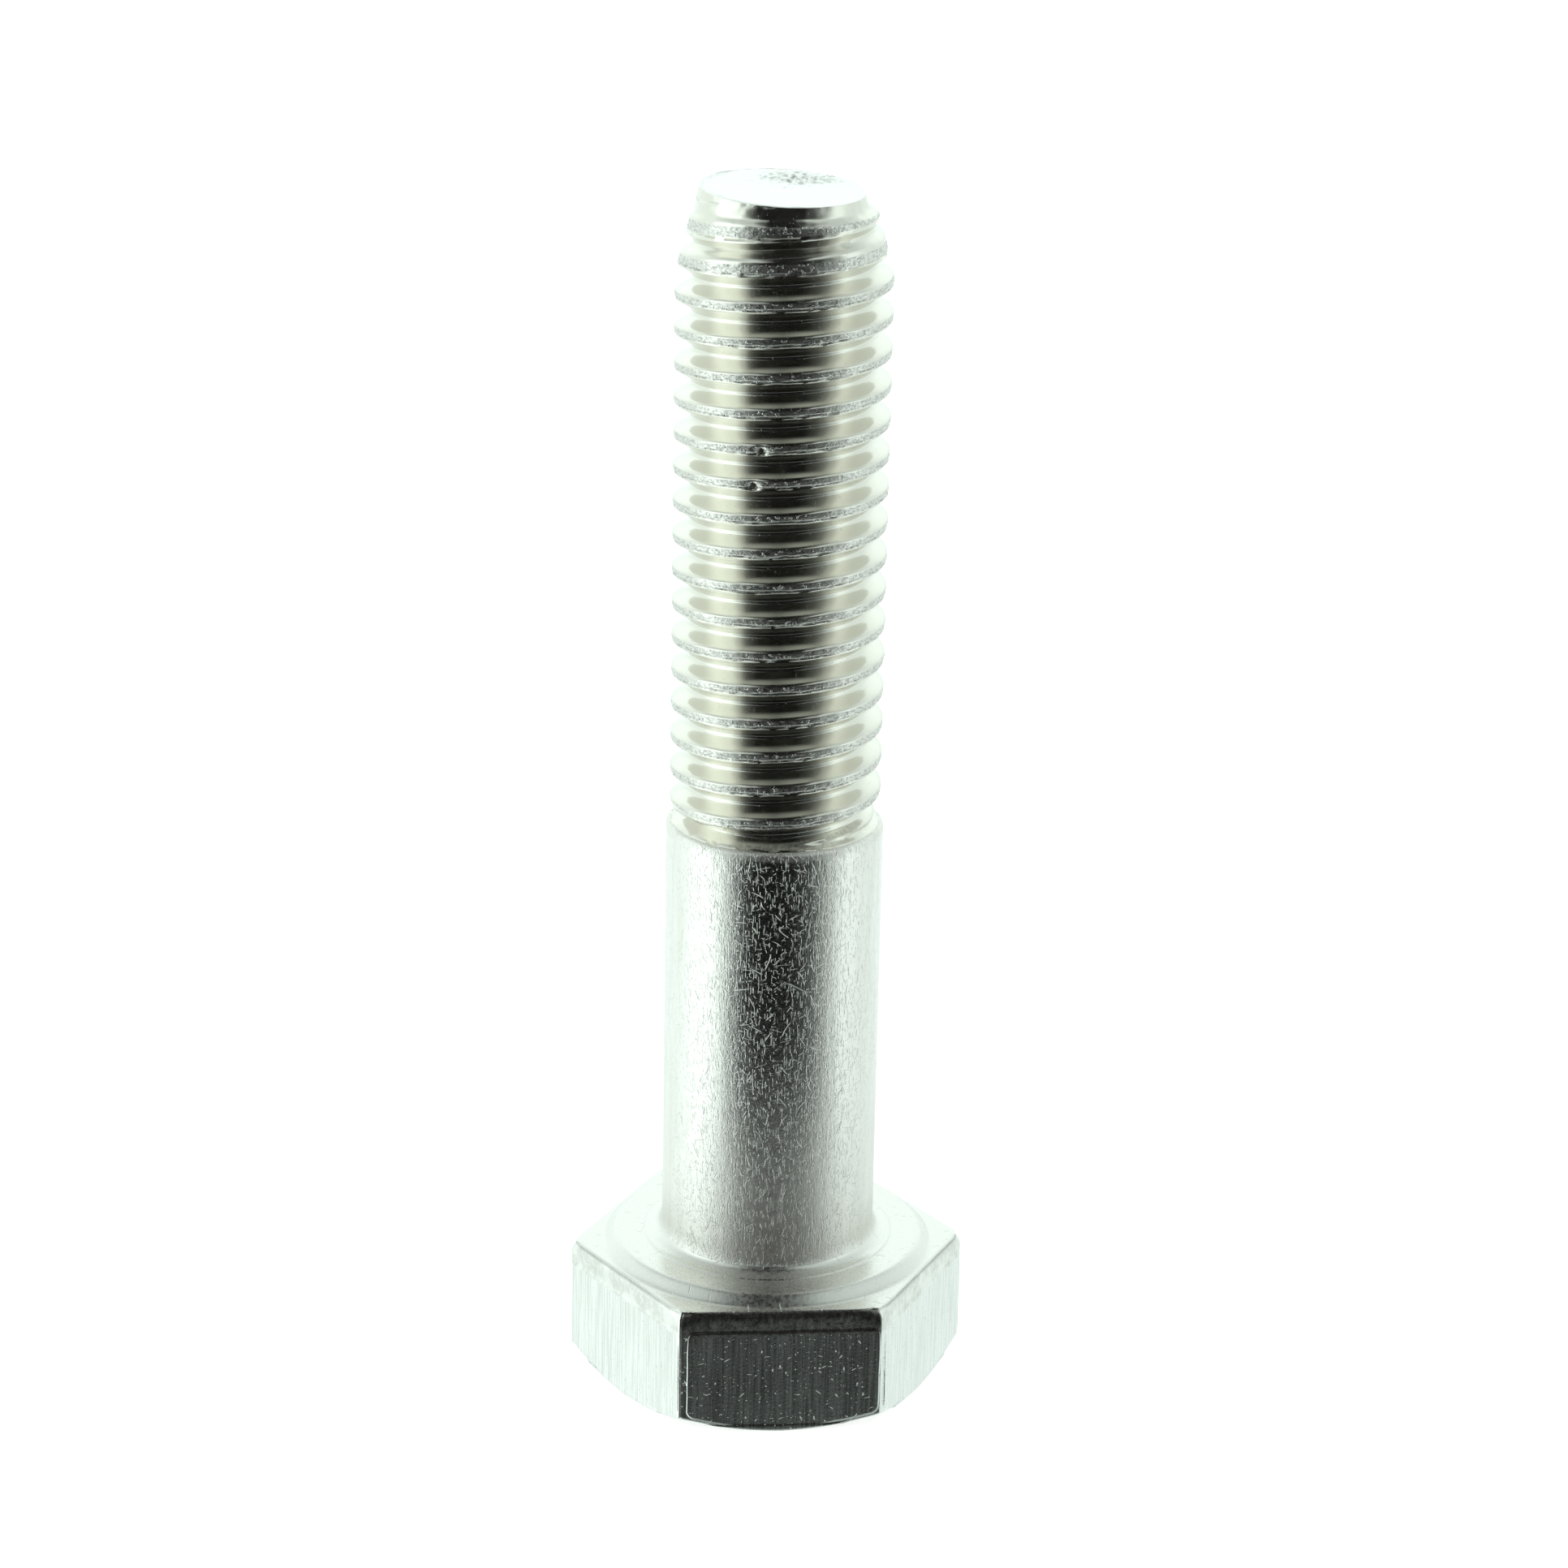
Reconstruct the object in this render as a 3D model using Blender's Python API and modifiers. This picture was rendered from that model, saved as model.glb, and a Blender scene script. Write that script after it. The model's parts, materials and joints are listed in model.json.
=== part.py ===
"""Hex bolt, M8 x 1.25 x 40, partly threaded. Metres, +Z from the head towards the tip.

The real bolt is a single piece of steel: a bar is headed cold, trimmed to a hexagon, reduced where
the thread goes and rolled. The model follows the same order. A trimmed hexagon, a turned blank and
a rolled thread overlap one another, and Boolean unions make them one closed solid.

The origin is the centre of the head's outer face. Two of the hexagon's flats face -Y and +Y.
"""

import math

import bmesh
import bpy
from mathutils import Matrix

# Driving dimensions
NOMINAL_DIAMETER = 0.008
PITCH = 0.00125
LENGTH_UNDER_HEAD = 0.040
PLAIN_SHANK_LENGTH = 0.0165  # from the bearing face to the shoulder where the thread starts
ACROSS_FLATS = 0.013
HEAD_HEIGHT = 0.0053

# Head
WASHER_FACE_RADIUS = 0.00595
WASHER_FACE_FOOT_RADIUS = 0.00605
WASHER_FACE_HEIGHT = 0.0004
OUTER_FACE_RADIUS = 0.0064  # where the 30 degree chamfer meets the head's outer face
OUTER_CHAMFER_ANGLE = math.radians(30)
CORNER_BEVEL = 0.00012  # how far the rounding of each corner reaches along the flats beside it
TRIM_BAND_HEIGHT = 0.0008  # the band that trimming leaves along the flats' bearing-side edges
TRIM_BAND_DEPTH = 0.00006

# Shank and shoulder
SHANK_RADIUS = NOMINAL_DIAMETER / 2
UNDER_HEAD_FILLET = 0.0006
SHOULDER_ROUNDING = 0.00025
NECK_RADIUS = 0.00372
NECK_TAPER_LENGTH = 0.0022  # the thread's groove reaches its full depth over this length

# Thread
CREST_RADIUS = 0.0039
ROOT_ROUNDING = 0.144 * PITCH
FLANK_ANGLE = math.radians(30)
FADE_START = 0.0003  # above the shoulder, where the thread's crest leaves the neck
FADE_END = 0.0010  # above the shoulder, where the crest is at full height
FIRST_CREST_BELOW_TIP = 0.0024  # measured on the -Y side
TIP_RADIUS = 0.00295
TIP_TAPER_LENGTH = 0.0026

# How finely round shapes are divided
STEPS_PER_TURN = 40
ROUNDING_STEPS = 3

# Levels and radii worked out from the dimensions above
BEARING_Z = HEAD_HEIGHT
HEX_TOP_Z = BEARING_Z - WASHER_FACE_HEIGHT
SHOULDER_Z = BEARING_Z + PLAIN_SHANK_LENGTH
TIP_Z = BEARING_Z + LENGTH_UNDER_HEAD
SHARP_CREST_RADIUS = SHANK_RADIUS + PITCH * math.sqrt(3) / 16
SHARP_ROOT_RADIUS = SHARP_CREST_RADIUS - PITCH * math.sqrt(3) / 2
ROOT_CENTRE_RADIUS = SHARP_ROOT_RADIUS + ROOT_ROUNDING / math.sin(FLANK_ANGLE)
ROOT_RADIUS = ROOT_CENTRE_RADIUS - ROOT_ROUNDING

# How far a shape runs on past the shape that trims it, or into the shape that it joins
OVERRUN = 0.001


def clear_scene():
    for obj in list(bpy.data.objects):
        bpy.data.objects.remove(obj, do_unlink=True)


def new_collection(name):
    collection = bpy.data.collections.new(name)
    bpy.context.scene.collection.children.link(collection)
    return collection


def object_from_bmesh(name, bm, collection):
    mesh = bpy.data.meshes.new(name)
    bm.to_mesh(mesh)
    bm.free()
    mesh.shade_smooth()
    mesh.set_sharp_from_angle(angle=math.radians(35))
    obj = bpy.data.objects.new(name, mesh)
    collection.objects.link(obj)
    return obj


def arc(centre_r, centre_z, radius, start_degrees, end_degrees):
    """Points (r, z) on an arc, both ends included."""
    points = []
    for step in range(ROUNDING_STEPS + 1):
        angle = math.radians(start_degrees + (end_degrees - start_degrees) * step / ROUNDING_STEPS)
        points.append((centre_r + radius * math.cos(angle), centre_z + radius * math.sin(angle)))
    return points


def profile_bmesh(profile):
    """The edges of a profile, given as points (r, z) that run down its outer side."""
    bm = bmesh.new()
    verts = [bm.verts.new((r, 0.0, z)) for r, z in profile]
    for upper, lower in zip(verts, verts[1:]):
        bm.edges.new((upper, lower))
    return bm


def add_screw(obj, turns, rise):
    screw = obj.modifiers.new("Screw", "SCREW")
    screw.axis = "Z"
    screw.angle = math.tau
    screw.iterations = turns
    screw.screw_offset = rise
    screw.steps = STEPS_PER_TURN
    screw.render_steps = STEPS_PER_TURN
    screw.use_merge_vertices = rise == 0
    screw.merge_threshold = 1e-6
    screw.use_smooth_shade = True


def turned(name, profile, collection):
    """A solid of revolution about Z."""
    obj = object_from_bmesh(name, profile_bmesh(profile), collection)
    add_screw(obj, 1, 0.0)
    return obj


def add_boolean(obj, operation, other):
    boolean = obj.modifiers.new(other.name, "BOOLEAN")
    boolean.operation = operation
    boolean.object = other
    boolean.solver = "EXACT"


def hexagon_head(collection):
    """The trimmed hexagon, longer than the head at its outer end so that the chamfer can trim it."""
    bm = bmesh.new()
    bottom_z = -OVERRUN
    band_z = HEX_TOP_Z - TRIM_BAND_HEIGHT
    corner_distance = ACROSS_FLATS / math.sqrt(3)
    flat_to_front = Matrix.Rotation(math.pi / 6, 4, "Z")
    bmesh.ops.create_cone(
        bm,
        cap_ends=True,
        segments=6,
        radius1=corner_distance,
        radius2=corner_distance,
        depth=band_z - bottom_z,
        matrix=Matrix.Translation((0, 0, (band_z + bottom_z) / 2)) @ flat_to_front,
    )
    top = [face for face in bm.faces if face.normal.z > 0.5]
    raised = bmesh.ops.extrude_face_region(bm, geom=top)
    bmesh.ops.delete(bm, geom=top, context="FACES_ONLY")
    rim = [item for item in raised["geom"] if isinstance(item, bmesh.types.BMVert)]
    shrink = 1 - 2 * TRIM_BAND_DEPTH / ACROSS_FLATS
    bmesh.ops.scale(bm, vec=(shrink, shrink, 1), verts=rim)
    bmesh.ops.translate(bm, vec=(0, 0, TRIM_BAND_HEIGHT), verts=rim)
    corners = [e for e in bm.edges if abs(e.verts[0].co.z - e.verts[1].co.z) > TRIM_BAND_HEIGHT / 2]
    bmesh.ops.bevel(bm, geom=corners, offset=CORNER_BEVEL, segments=2, profile=0.5, affect="EDGES")
    bmesh.ops.recalc_face_normals(bm, faces=bm.faces)
    return object_from_bmesh("hex_bolt", bm, collection)


def head_envelope(collection):
    """What the head is trimmed to: a flat outer face with a 30 degree chamfer round it."""
    reach = ACROSS_FLATS
    top_z = HEX_TOP_Z + OVERRUN
    profile = [
        (0.0, top_z),
        (reach, top_z),
        (reach, (reach - OUTER_FACE_RADIUS) * math.tan(OUTER_CHAMFER_ANGLE)),
        (OUTER_FACE_RADIUS, 0.0),
        (0.0, 0.0),
    ]
    return turned("head_envelope", profile, collection)


def turned_blank(collection):
    """The shank with the run-out cone above its shoulder, its fillet and the raised washer face."""
    foot_z = HEX_TOP_Z - OVERRUN
    cone_top_z = SHOULDER_Z + NECK_TAPER_LENGTH
    profile = [
        (0.0, cone_top_z),
        (ROOT_RADIUS - 0.0001, cone_top_z),
        (NECK_RADIUS, SHOULDER_Z),
    ]
    shoulder_centre = (SHANK_RADIUS - SHOULDER_ROUNDING, SHOULDER_Z - SHOULDER_ROUNDING)
    fillet_centre = (SHANK_RADIUS + UNDER_HEAD_FILLET, BEARING_Z + UNDER_HEAD_FILLET)
    profile += arc(*shoulder_centre, SHOULDER_ROUNDING, 90, 0)
    profile += arc(*fillet_centre, UNDER_HEAD_FILLET, 180, 270)
    profile += [
        (WASHER_FACE_RADIUS, BEARING_Z),
        (WASHER_FACE_FOOT_RADIUS, BEARING_Z - WASHER_FACE_HEIGHT),
        (WASHER_FACE_FOOT_RADIUS, foot_z),
        (0.0, foot_z),
    ]
    return turned("turned_blank", profile, collection)


def thread_profile():
    """One pitch of the 60 degree thread, from root to root, as points (r, z) about the crest."""
    crest_half_width = (SHARP_CREST_RADIUS - CREST_RADIUS) * math.tan(FLANK_ANGLE)
    foot_radius = ROOT_CENTRE_RADIUS - ROOT_ROUNDING * math.sin(FLANK_ANGLE)
    foot_z = PITCH / 2 - ROOT_ROUNDING * math.cos(FLANK_ANGLE)
    upper_half = [
        (ROOT_RADIUS, PITCH / 2),
        (foot_radius, foot_z),
        (CREST_RADIUS, crest_half_width),
    ]
    return upper_half + [(r, -z) for r, z in reversed(upper_half)]


def rolled_thread(collection):
    """A right-hand threaded rod that runs on past both ends of the thread, with a cone at each end."""
    start_z = SHOULDER_Z - OVERRUN
    turns = math.ceil((TIP_Z + OVERRUN - start_z) / PITCH)
    rod = object_from_bmesh("thread_ridge", profile_bmesh(thread_profile()), collection)
    add_screw(rod, turns, PITCH)
    evaluated = rod.evaluated_get(bpy.context.evaluated_depsgraph_get())
    bm = bmesh.new()
    bm.from_mesh(evaluated.to_mesh())
    evaluated.to_mesh_clear()
    bpy.data.objects.remove(rod, do_unlink=True)

    bmesh.ops.remove_doubles(bm, verts=bm.verts, dist=1e-6)
    middle_z = turns * PITCH / 2
    for end_z in (0.0, turns * PITCH):
        rim = [e for e in bm.edges if e.is_boundary and (e.verts[0].co.z > middle_z) == (end_z > middle_z)]
        spread = bmesh.ops.extrude_edge_only(bm, edges=rim)
        inner = [item for item in spread["geom"] if isinstance(item, bmesh.types.BMVert)]
        bmesh.ops.pointmerge(bm, verts=inner, merge_co=(0, 0, end_z))
    bmesh.ops.recalc_face_normals(bm, faces=bm.faces)

    # The ridge starts at +X and has risen by three quarters of a pitch when it reaches -Y.
    crest_z = TIP_Z - FIRST_CREST_BELOW_TIP - PITCH * 3 / 4
    lowest_crest_z = crest_z - PITCH * math.ceil((crest_z - start_z) / PITCH)
    bmesh.ops.translate(bm, vec=(0, 0, lowest_crest_z), verts=bm.verts)
    return object_from_bmesh("rolled_thread", bm, collection)


def thread_envelope(collection):
    """What the threaded rod is trimmed to: a tapered tip, and a fade where it leaves the neck."""
    sunk_radius = NECK_RADIUS - 0.0002
    reach = CREST_RADIUS + 0.0001
    taper = (CREST_RADIUS - TIP_RADIUS) / TIP_TAPER_LENGTH
    foot_z = SHOULDER_Z - OVERRUN / 2
    profile = [
        (0.0, TIP_Z),
        (TIP_RADIUS, TIP_Z),
        (reach, TIP_Z - (reach - TIP_RADIUS) / taper),
        (reach, SHOULDER_Z + FADE_END),
        (sunk_radius, SHOULDER_Z + FADE_START),
        (sunk_radius, foot_z),
        (0.0, foot_z),
    ]
    return turned("thread_envelope", profile, collection)


def bright_steel():
    material = bpy.data.materials.new("stainless_steel")
    material.use_nodes = True
    shader = material.node_tree.nodes["Principled BSDF"]
    shader.inputs["Base Color"].default_value = (0.60, 0.61, 0.59, 1.0)
    shader.inputs["Metallic"].default_value = 1.0
    shader.inputs["Roughness"].default_value = 0.28
    return material


def build():
    clear_scene()
    bolt = new_collection("hex_bolt")
    cutters = new_collection("cutters")

    thread = rolled_thread(cutters)
    add_boolean(thread, "INTERSECT", thread_envelope(cutters))

    head = hexagon_head(bolt)
    add_boolean(head, "INTERSECT", head_envelope(cutters))
    add_boolean(head, "UNION", turned_blank(cutters))
    add_boolean(head, "UNION", thread)
    head.data.materials.append(bright_steel())

    cutters.hide_render = True
    for helper in cutters.objects:
        helper.hide_render = True
        helper.display_type = "WIRE"


build()
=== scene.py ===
"""Looks of the hex bolt: its rolled thread, drawn shank and trimmed head, in a bright white studio.

The bolt is one CAD node. Two closed meshes that meet at the shoulder stand for it: the threaded
length, laid out along its helix, and the headed shank, laid out round its axis.
"""

import json
import math
import random

import bmesh
import bpy
import numpy as np
from mathutils import Matrix, Vector, noise


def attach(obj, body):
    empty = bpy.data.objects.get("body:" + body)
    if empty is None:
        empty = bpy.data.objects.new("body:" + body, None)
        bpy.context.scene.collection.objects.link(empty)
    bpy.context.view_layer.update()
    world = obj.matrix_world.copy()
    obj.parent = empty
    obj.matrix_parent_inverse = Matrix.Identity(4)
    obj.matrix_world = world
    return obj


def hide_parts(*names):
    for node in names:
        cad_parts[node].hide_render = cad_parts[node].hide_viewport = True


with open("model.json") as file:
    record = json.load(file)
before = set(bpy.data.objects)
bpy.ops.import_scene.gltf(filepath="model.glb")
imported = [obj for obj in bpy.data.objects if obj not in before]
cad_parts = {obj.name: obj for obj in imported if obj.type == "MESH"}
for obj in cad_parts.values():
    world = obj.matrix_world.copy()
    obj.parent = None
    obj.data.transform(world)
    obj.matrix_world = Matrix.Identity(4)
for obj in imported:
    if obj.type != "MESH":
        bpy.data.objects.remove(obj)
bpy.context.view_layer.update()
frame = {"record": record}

MM = 0.001
MOUNTS = {mount["name"]: Vector(mount["pos_m"]) for mount in frame["record"]["mounts"]}

# Levels and widths that the frame gives
BEARING_Z = MOUNTS["bearing_face"].z
TIP_Z = MOUNTS["tip_face"].z
HALF_FLATS = MOUNTS["wrench_flat_back"].y

# Head
WASHER_FACE_HEIGHT = 0.4 * MM
HEX_TOP_Z = BEARING_Z - WASHER_FACE_HEIGHT
OUTER_FACE_RADIUS = 6.4 * MM
OUTER_CHAMFER_ANGLE = math.radians(30)
CORNER_ROUNDING = 0.23 * MM
HALF_SIDE = HALF_FLATS * math.tan(math.pi / 6)
STRAIGHT_REACH = (HALF_FLATS - CORNER_ROUNDING) * math.tan(math.pi / 6)  # without the rounded ends
TRIM_BAND_HEIGHT = 0.8 * MM  # the band that trimming leaves along the flats' bearing-side edges
TRIM_BAND_DEPTH = 0.045 * MM
BAND_FOOT_Z = HEX_TOP_Z - TRIM_BAND_HEIGHT
LIP_RADIUS = 4.66 * MM  # the low lip round the fillet, on the washer face
LIP_HEIGHT = 0.05 * MM
WASHER_FACE_RADIUS = 5.78 * MM
WASHER_FACE_FOOT_RADIUS = 6.22 * MM

# Shank and shoulder
SHANK_RADIUS = 4.0 * MM
SHOULDER_Z = BEARING_Z + 16.5 * MM
SHOULDER_ROUNDING = 0.27 * MM
UNDER_HEAD_FILLET = 0.58 * MM
NECK_RADIUS = 3.84 * MM  # where the shoulder ends and the last groove's flank starts

# Thread
PITCH = 1.25 * MM
CREST_RADIUS = 3.88 * MM
FRONT_CREST_Z = TIP_Z - 2.42 * MM  # the first crest at the front, counted from the tip
FLANK_SLOPE = 1 / math.tan(math.radians(28))
SHARP_CREST_RADIUS = 4.19 * MM  # where a crest's two flanks would meet
ROOT_RADIUS = 3.25 * MM
ROOT_ROUNDING = 0.30 * MM
NECK_ROOT_ROUNDING = 0.12 * MM  # the same in the last groove
EDGE_ROUNDING = 0.08 * MM
CREST_HALF_WIDTH = 0.21 * MM

# Point and tip
POINT_RADIUS = 2.93 * MM
POINT_SLOPE = 0.25
POINT_STEP = 0.20 * MM  # how far the point flares out towards the first crest
POINT_STEP_BELOW_TIP = 0.95 * MM
POINT_OFFSET = 0.15 * MM  # how far the point leans towards -X
TIP_FACE_DROP = 0.25 * MM  # the sheared face's middle, below the tip's highest point
TIP_FACE_SLOPE = (-0.03, 0.055)  # its rise towards +X and +Y

# Mesh density
THREAD_COLUMNS = 176
THREAD_ROWS_PER_TURN = 26
CORNER_COLUMNS = 10


# ---------------------------------------------------------------------------------------------
# Shape helpers


def smooth_min(a, b, width):
    """The lower of two heights, with their meeting line rounded over the given width."""
    share = np.clip(0.5 + 0.5 * (b - a) / width, 0, 1)
    return b + (a - b) * share - width * share * (1 - share)


def smooth_max(a, b, width):
    return -smooth_min(-a, -b, width)


def hump(distance, width):
    """1 at no distance, falling to nothing over about twice the width."""
    return np.exp(-((distance / width) ** 2))


def step_up(value, middle, width):
    """A smooth step from 0 to 1."""
    share = np.clip((value - middle) / width + 0.5, 0, 1)
    return share * share * (3 - 2 * share)


def rough_field(points, size, seed):
    """Smooth random values from -1 to 1 at an array of points, with features of the given size."""
    offset = Vector((seed * 7.31, seed * 3.17, seed * 5.93))
    flat = points.reshape(-1, 3) / size
    values = [noise.noise(Vector(point) + offset) for point in flat]
    return np.array(values).reshape(points.shape[:-1])


def angle_gap(angle, middle):
    """The signed angle from the middle, from -pi to pi."""
    return (angle - middle + math.pi) % math.tau - math.pi


def to_xyz(radius, angle, z):
    return np.stack([radius * np.cos(angle), radius * np.sin(angle), z], axis=-1)


def ring_faces(first_point, ring_count, columns):
    """Quads between rings of points that lie one after another."""
    index = first_point + np.arange(ring_count * columns).reshape(ring_count, columns)
    following = np.roll(index, -1, axis=1)
    quads = np.stack([index[:-1], following[:-1], following[1:], index[1:]], axis=-1)
    return quads.reshape(-1, 4)


def mesh_object(name, points, faces, zones, materials):
    """A closed, smooth mesh. Coinciding points are welded, and each face has its zone's material."""
    mesh = bpy.data.meshes.new(name)
    mesh.from_pydata(points.tolist(), [], faces.tolist())
    for material in materials:
        mesh.materials.append(material)
    mesh.polygons.foreach_set("material_index", zones)
    bm = bmesh.new()
    bm.from_mesh(mesh)
    bmesh.ops.remove_doubles(bm, verts=bm.verts, dist=1e-8)
    bmesh.ops.dissolve_degenerate(bm, edges=bm.edges, dist=1e-9)
    bmesh.ops.recalc_face_normals(bm, faces=bm.faces)
    bm.to_mesh(mesh)
    bm.free()
    mesh.shade_smooth()
    mesh.set_sharp_from_angle(angle=math.radians(50))
    obj = bpy.data.objects.new(name, mesh)
    bpy.context.scene.collection.objects.link(obj)
    return obj


# ---------------------------------------------------------------------------------------------
# Threaded length

ZONE_FLANK, ZONE_CREST, ZONE_TIP = range(3)

# Nicks that handling left on the thread: crests counted from the tip, and the angle round the axis
NICKS = [(6, -106), (7, -110), (3, 40), (13, 150), (9, 100)]


def helix_row_offsets():
    """Heights of one turn's rows above its crest, in pitches, closest together over the crest."""
    even = np.arange(THREAD_ROWS_PER_TURN) / THREAD_ROWS_PER_TURN
    return even - 0.78 * np.sin(math.tau * even) / math.tau


def height_from_crest(angle, z):
    """Signed height above the nearest crest of the right-hand helix."""
    turns = (z - FRONT_CREST_Z) / PITCH - (angle + math.pi / 2) / math.tau
    return (turns - np.round(turns)) * PITCH


def point_radius(z):
    """The blank's point: nearly cylindrical at its end, then flared out to the first thread."""
    below_tip = TIP_Z - z
    flare = POINT_STEP * step_up(below_tip, POINT_STEP_BELOW_TIP, 0.3 * MM)
    return POINT_RADIUS + POINT_SLOPE * (below_tip - TIP_FACE_DROP) + flare


def neck_radius(z):
    """The flank that closes the last groove, from the shoulder in to the root."""
    return NECK_RADIUS - FLANK_SLOPE * np.maximum(z - SHOULDER_Z, 0)


def crest_limit(z):
    """How far out a crest can reach: less near the tip, and where the thread runs out."""
    run_out = NECK_RADIUS - 0.12 * MM + 0.6 * (z - SHOULDER_Z - 0.45 * MM)
    full = smooth_min(CREST_RADIUS, point_radius(z), EDGE_ROUNDING)
    return smooth_min(full, run_out, 0.12 * MM)


def thread_radius(angle, z):
    """The thread as rolled: pointed flanks cut off at the crest and rounded into the root."""
    unfilled = 0.35 * MM * step_up(z, TIP_Z - 1.5 * MM, 0.8 * MM)
    flank = SHARP_CREST_RADIUS - unfilled - np.abs(height_from_crest(angle, z)) * FLANK_SLOPE
    radius = smooth_min(flank, crest_limit(z), EDGE_ROUNDING)
    past_neck = step_up(z, SHOULDER_Z + 1.1 * MM, 0.8 * MM)
    rounding = NECK_ROOT_ROUNDING + (ROOT_ROUNDING - NECK_ROOT_ROUNDING) * past_neck
    first_root = ROOT_RADIUS - 0.10 * MM * step_up(z, TIP_Z - 1.9 * MM, 0.8 * MM)
    root = smooth_max(neck_radius(z), first_root, EDGE_ROUNDING)
    return smooth_min(smooth_max(radius, root, rounding), point_radius(z), 0.05 * MM)


def crest_wear(angle, z, radius):
    """How much lower the crest is than its ideal shape: the seam that rolling leaves, and nicks."""
    from_crest = height_from_crest(angle, z)
    points = to_xyz(radius, angle, z)
    near_top = step_up(radius, crest_limit(z) - 0.05 * MM, 0.08 * MM)
    half_width = (SHARP_CREST_RADIUS - crest_limit(z)) / FLANK_SLOPE
    seam_at = 0.02 * MM * rough_field(points, 0.5 * MM, 1) - 0.62 * half_width
    seam_strength = np.clip(0.9 + 1.6 * rough_field(points, 0.4 * MM, 2), 0, 1)
    worn = 0.060 * MM * seam_strength * hump(from_crest - seam_at, 0.036 * MM)
    worn = worn + 0.014 * MM * (1 + rough_field(points, 0.22 * MM, 3))
    for crest, degrees in NICKS:
        nick_z = FRONT_CREST_Z - PITCH * (crest - 1) + PITCH * (degrees + 90) / 360 - 0.06 * MM
        along = angle_gap(angle, math.radians(degrees)) * CREST_RADIUS
        worn = worn + 0.26 * MM * hump(along, 0.13 * MM) * hump(z - nick_z, 0.15 * MM)
    return worn * near_top


def thread_rows(low_z):
    """Grid of angles, heights and radii: rows follow the helix, clamped to the length's two ends."""
    angles = np.arange(THREAD_COLUMNS) * math.tau / THREAD_COLUMNS
    rim_z = tip_plane_z(POINT_RADIUS * np.cos(angles), POINT_RADIUS * np.sin(angles))
    first_turn = math.floor((low_z - FRONT_CREST_Z) / PITCH) - 2
    last_turn = math.ceil((TIP_Z - FRONT_CREST_Z) / PITCH) + 1
    turns = np.arange(first_turn, last_turn + 1)
    rises = (turns[:, None] + helix_row_offsets()[None, :]).reshape(-1, 1)
    heights = FRONT_CREST_Z + PITCH * (rises + (angles + math.pi / 2) / math.tau)
    heights = np.clip(heights, low_z, rim_z[None, :])
    angles = np.broadcast_to(angles, heights.shape)
    return angles, heights, thread_radius(angles, heights)


def helix_faces(rows, columns):
    """Quads between rows and columns. Past the last column, a row meets the one a turn above it."""
    index = np.arange(rows * columns).reshape(rows, columns)
    below, above = index[:-1], index[1:]
    inner = np.stack([below[:, :-1], below[:, 1:], above[:, 1:], above[:, :-1]], axis=-1)
    turn = THREAD_ROWS_PER_TURN
    last, first = index[:, -1], index[:, 0]
    seam = np.stack([last[: -turn - 1], first[turn:-1], first[turn + 1 :], last[1:-turn]], axis=-1)
    return np.concatenate([inner.reshape(-1, 4), seam])


def tip_plane_z(x, y):
    """The sheared end: lowest at the front right, highest at the back left."""
    return TIP_Z - TIP_FACE_DROP + TIP_FACE_SLOPE[1] * y + TIP_FACE_SLOPE[0] * x


def tip_face_height(points):
    """The sheared face: fine ridges, a torn patch at its back right and a burr along its back left."""
    x, y = points[:, 0], points[:, 1]
    angle = np.arctan2(y, x)
    from_rim = POINT_RADIUS - np.hypot(x, y)
    torn = hump(np.hypot((x - 0.6 * MM) * 0.8, y - 1.5 * MM), 1.1 * MM)
    relief = 0.11 * MM * torn * rough_field(points, 0.17 * MM, 5)
    ridges = 0.006 * MM * np.sin((x * 0.8 + y) / (0.09 * MM))
    inside = step_up(from_rim, 0.15 * MM, 0.3 * MM)
    rolled_edge = 0.05 * MM * hump(from_rim, 0.09 * MM)
    burr = 0.11 * MM * hump(from_rim - 0.05 * MM, 0.04 * MM) * hump(angle_gap(angle, 2.7), 0.7)
    nick = 0.10 * MM * hump(angle_gap(angle, -1.5) * POINT_RADIUS, 0.16 * MM) * hump(from_rim, 0.12 * MM)
    height = tip_plane_z(x, y) + (relief + ridges) * inside - rolled_edge + burr - nick
    return np.minimum(height, TIP_Z)


def tip_face_rings(rim, ring_count=40):
    """Rings of points from the tip's rim to its centre, closer together near the rim."""
    rings = []
    for step in range(1, ring_count + 1):
        ring = rim.copy()
        ring[:, :2] *= 1 - (step / ring_count) ** 1.3
        ring[:, 2] = tip_face_height(ring)
        rings.append(ring)
    return rings


def is_crest(angle, z, ideal):
    """Where the surface is the torn top of a crest: a full crest, or the first one as it fades in."""
    below_crest = -height_from_crest(angle, z)
    full = (z > SHOULDER_Z + 0.85 * MM) & (z < TIP_Z - 1.0 * MM)
    on_top = (np.abs(below_crest) < CREST_HALF_WIDTH) & (ideal > crest_limit(z) - 0.03 * MM)
    fading = (z > SHOULDER_Z + 0.60 * MM) & (z < SHOULDER_Z + 1.2 * MM)
    on_seam = (below_crest > 0.12 * MM) & (below_crest < 0.38 * MM)
    return (full & on_top) | (fading & on_seam)


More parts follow.
